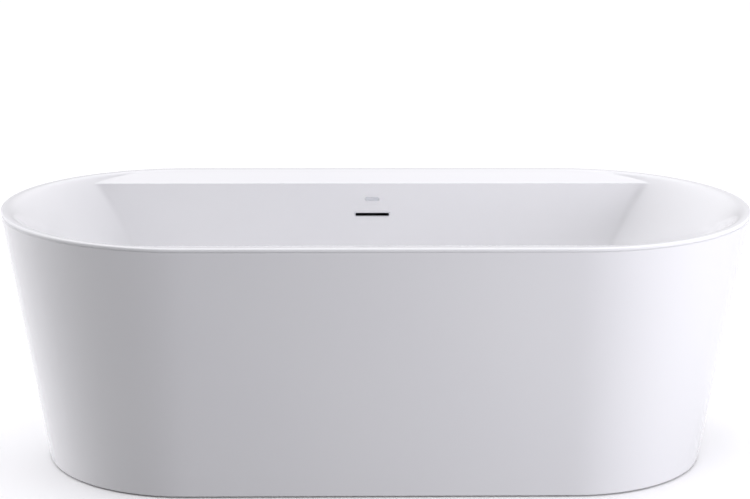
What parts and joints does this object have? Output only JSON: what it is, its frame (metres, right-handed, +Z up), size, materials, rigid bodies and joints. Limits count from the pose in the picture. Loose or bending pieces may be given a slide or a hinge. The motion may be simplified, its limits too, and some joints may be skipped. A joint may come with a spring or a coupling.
{
  "type": "freestanding bathtub",
  "caption": "Oval double-walled freestanding bathtub with a thin rim, tapered outer skirt, sloping ends, a slot overflow and a push-open drain.",
  "frame": {"origin": "centre of the footprint, on the floor the feet stand on", "axes": "+X along the tub, +Y towards the long side with the overflow, +Z up"},
  "size_m": [1.7, 0.8, 0.58],
  "materials": {
    "acrylic": "polished white acrylic on glass-fibre reinforcement",
    "bond": "white adhesive sealant",
    "plywood": "raw plywood",
    "frame_steel": "galvanised square tube",
    "zinc_steel": "bright zinc plated",
    "nylon": "black moulded nylon",
    "rubber": "black moulded rubber",
    "chrome": "polished chrome plate",
    "black_plastic": "black moulded plastic",
    "white_plastic": "off-white plastic",
    "brass": "turned brass"
  },
  "bodies": {
    "tub": {"inner_basin": "acrylic", "outer_skirt": "acrylic", "rim_bond_bead": "bond", "base_board": "plywood", "frame_rail_front": "frame_steel", "frame_rail_rear": "frame_steel", "frame_cross_left_end": "frame_steel", "frame_cross_left_of_drain": "frame_steel", "frame_cross_right_of_drain": "frame_steel", "frame_cross_right_end": "frame_steel", "outrigger_front_left": "frame_steel", "outrigger_front_right": "frame_steel", "outrigger_rear_left": "frame_steel", "outrigger_rear_right": "frame_steel", "skirt_block_front_left": "plywood", "skirt_block_front_right": "plywood", "skirt_block_rear_left": "plywood", "skirt_block_rear_right": "plywood", "drain_flange_seal": "rubber", "drain_flange": "chrome", "cartridge_body": "brass", "cartridge_spring": "zinc_steel", "drain_washer": "rubber", "waste_body": "black_plastic", "outlet_nut": "white_plastic", "outlet_washer": "rubber", "tailpiece": "chrome", "overflow_trim": "chrome", "overflow_gasket": "rubber", "overflow_box": "black_plastic", "overflow_screw_left": "zinc_steel", "overflow_screw_right": "zinc_steel", "plain_badge": "chrome", "overflow_hose": "white_plastic", "hose_clamp_upper": "zinc_steel", "hose_clamp_lower": "zinc_steel", "foot_1_locknut": "zinc_steel", "foot_2_locknut": "zinc_steel", "foot_3_locknut": "zinc_steel", "foot_4_locknut": "zinc_steel", "foot_5_locknut": "zinc_steel", "foot_6_locknut": "zinc_steel"},
    "plug": {"plug_cap": "chrome", "plug_seal": "rubber", "plug_stem": "brass"},
    "foot_1_pad": {"foot_1_pad": "nylon"},
    "foot_1_stud": {"foot_1_stud": "zinc_steel"},
    "foot_2_pad": {"foot_2_pad": "nylon"},
    "foot_2_stud": {"foot_2_stud": "zinc_steel"},
    "foot_3_pad": {"foot_3_pad": "nylon"},
    "foot_3_stud": {"foot_3_stud": "zinc_steel"},
    "foot_4_pad": {"foot_4_pad": "nylon"},
    "foot_4_stud": {"foot_4_stud": "zinc_steel"},
    "foot_5_pad": {"foot_5_pad": "nylon"},
    "foot_5_stud": {"foot_5_stud": "zinc_steel"},
    "foot_6_pad": {"foot_6_pad": "nylon"},
    "foot_6_stud": {"foot_6_stud": "zinc_steel"}
  },
  "joints": [
    {"name": "foot_1_height", "type": "slide", "parent": "tub", "child": "foot_1_pad", "axis": [0, 0, 1], "range_m": [-0.012, 0.0025]},
    {"name": "foot_1_turn", "type": "hinge", "parent": "foot_1_pad", "child": "foot_1_stud", "pos_m": [-0.5, -0.19, 0.05], "axis": [0, 0, 1], "range_deg": [-2469, 515]},
    {"name": "foot_2_height", "type": "slide", "parent": "tub", "child": "foot_2_pad", "axis": [0, 0, 1], "range_m": [-0.012, 0.0025]},
    {"name": "foot_2_turn", "type": "hinge", "parent": "foot_2_pad", "child": "foot_2_stud", "pos_m": [0, -0.19, 0.05], "axis": [0, 0, 1], "range_deg": [-2469, 515]},
    {"name": "foot_3_height", "type": "slide", "parent": "tub", "child": "foot_3_pad", "axis": [0, 0, 1], "range_m": [-0.012, 0.0025]},
    {"name": "foot_3_turn", "type": "hinge", "parent": "foot_3_pad", "child": "foot_3_stud", "pos_m": [0.5, -0.19, 0.05], "axis": [0, 0, 1], "range_deg": [-2469, 515]},
    {"name": "foot_4_height", "type": "slide", "parent": "tub", "child": "foot_4_pad", "axis": [0, 0, 1], "range_m": [-0.012, 0.0025]},
    {"name": "foot_4_turn", "type": "hinge", "parent": "foot_4_pad", "child": "foot_4_stud", "pos_m": [-0.5, 0.19, 0.05], "axis": [0, 0, 1], "range_deg": [-2469, 515]},
    {"name": "foot_5_height", "type": "slide", "parent": "tub", "child": "foot_5_pad", "axis": [0, 0, 1], "range_m": [-0.012, 0.0025]},
    {"name": "foot_5_turn", "type": "hinge", "parent": "foot_5_pad", "child": "foot_5_stud", "pos_m": [0, 0.19, 0.05], "axis": [0, 0, 1], "range_deg": [-2469, 515]},
    {"name": "foot_6_height", "type": "slide", "parent": "tub", "child": "foot_6_pad", "axis": [0, 0, 1], "range_m": [-0.012, 0.0025]},
    {"name": "foot_6_turn", "type": "hinge", "parent": "foot_6_pad", "child": "foot_6_stud", "pos_m": [0.5, 0.19, 0.05], "axis": [0, 0, 1], "range_deg": [-2469, 515]},
    {"name": "plug_lift", "type": "slide", "parent": "tub", "child": "plug", "axis": [0, 0, 1], "range_m": [0, 0.009], "deforming": ["cartridge_spring"]}
  ],
  "couplings": [
    {"joint": "foot_1_turn", "follows": "foot_1_height", "rad_per_m": 3590.4},
    {"joint": "foot_2_turn", "follows": "foot_2_height", "rad_per_m": 3590.4},
    {"joint": "foot_3_turn", "follows": "foot_3_height", "rad_per_m": 3590.4},
    {"joint": "foot_4_turn", "follows": "foot_4_height", "rad_per_m": 3590.4},
    {"joint": "foot_5_turn", "follows": "foot_5_height", "rad_per_m": 3590.4},
    {"joint": "foot_6_turn", "follows": "foot_6_height", "rad_per_m": 3590.4}
  ]
}
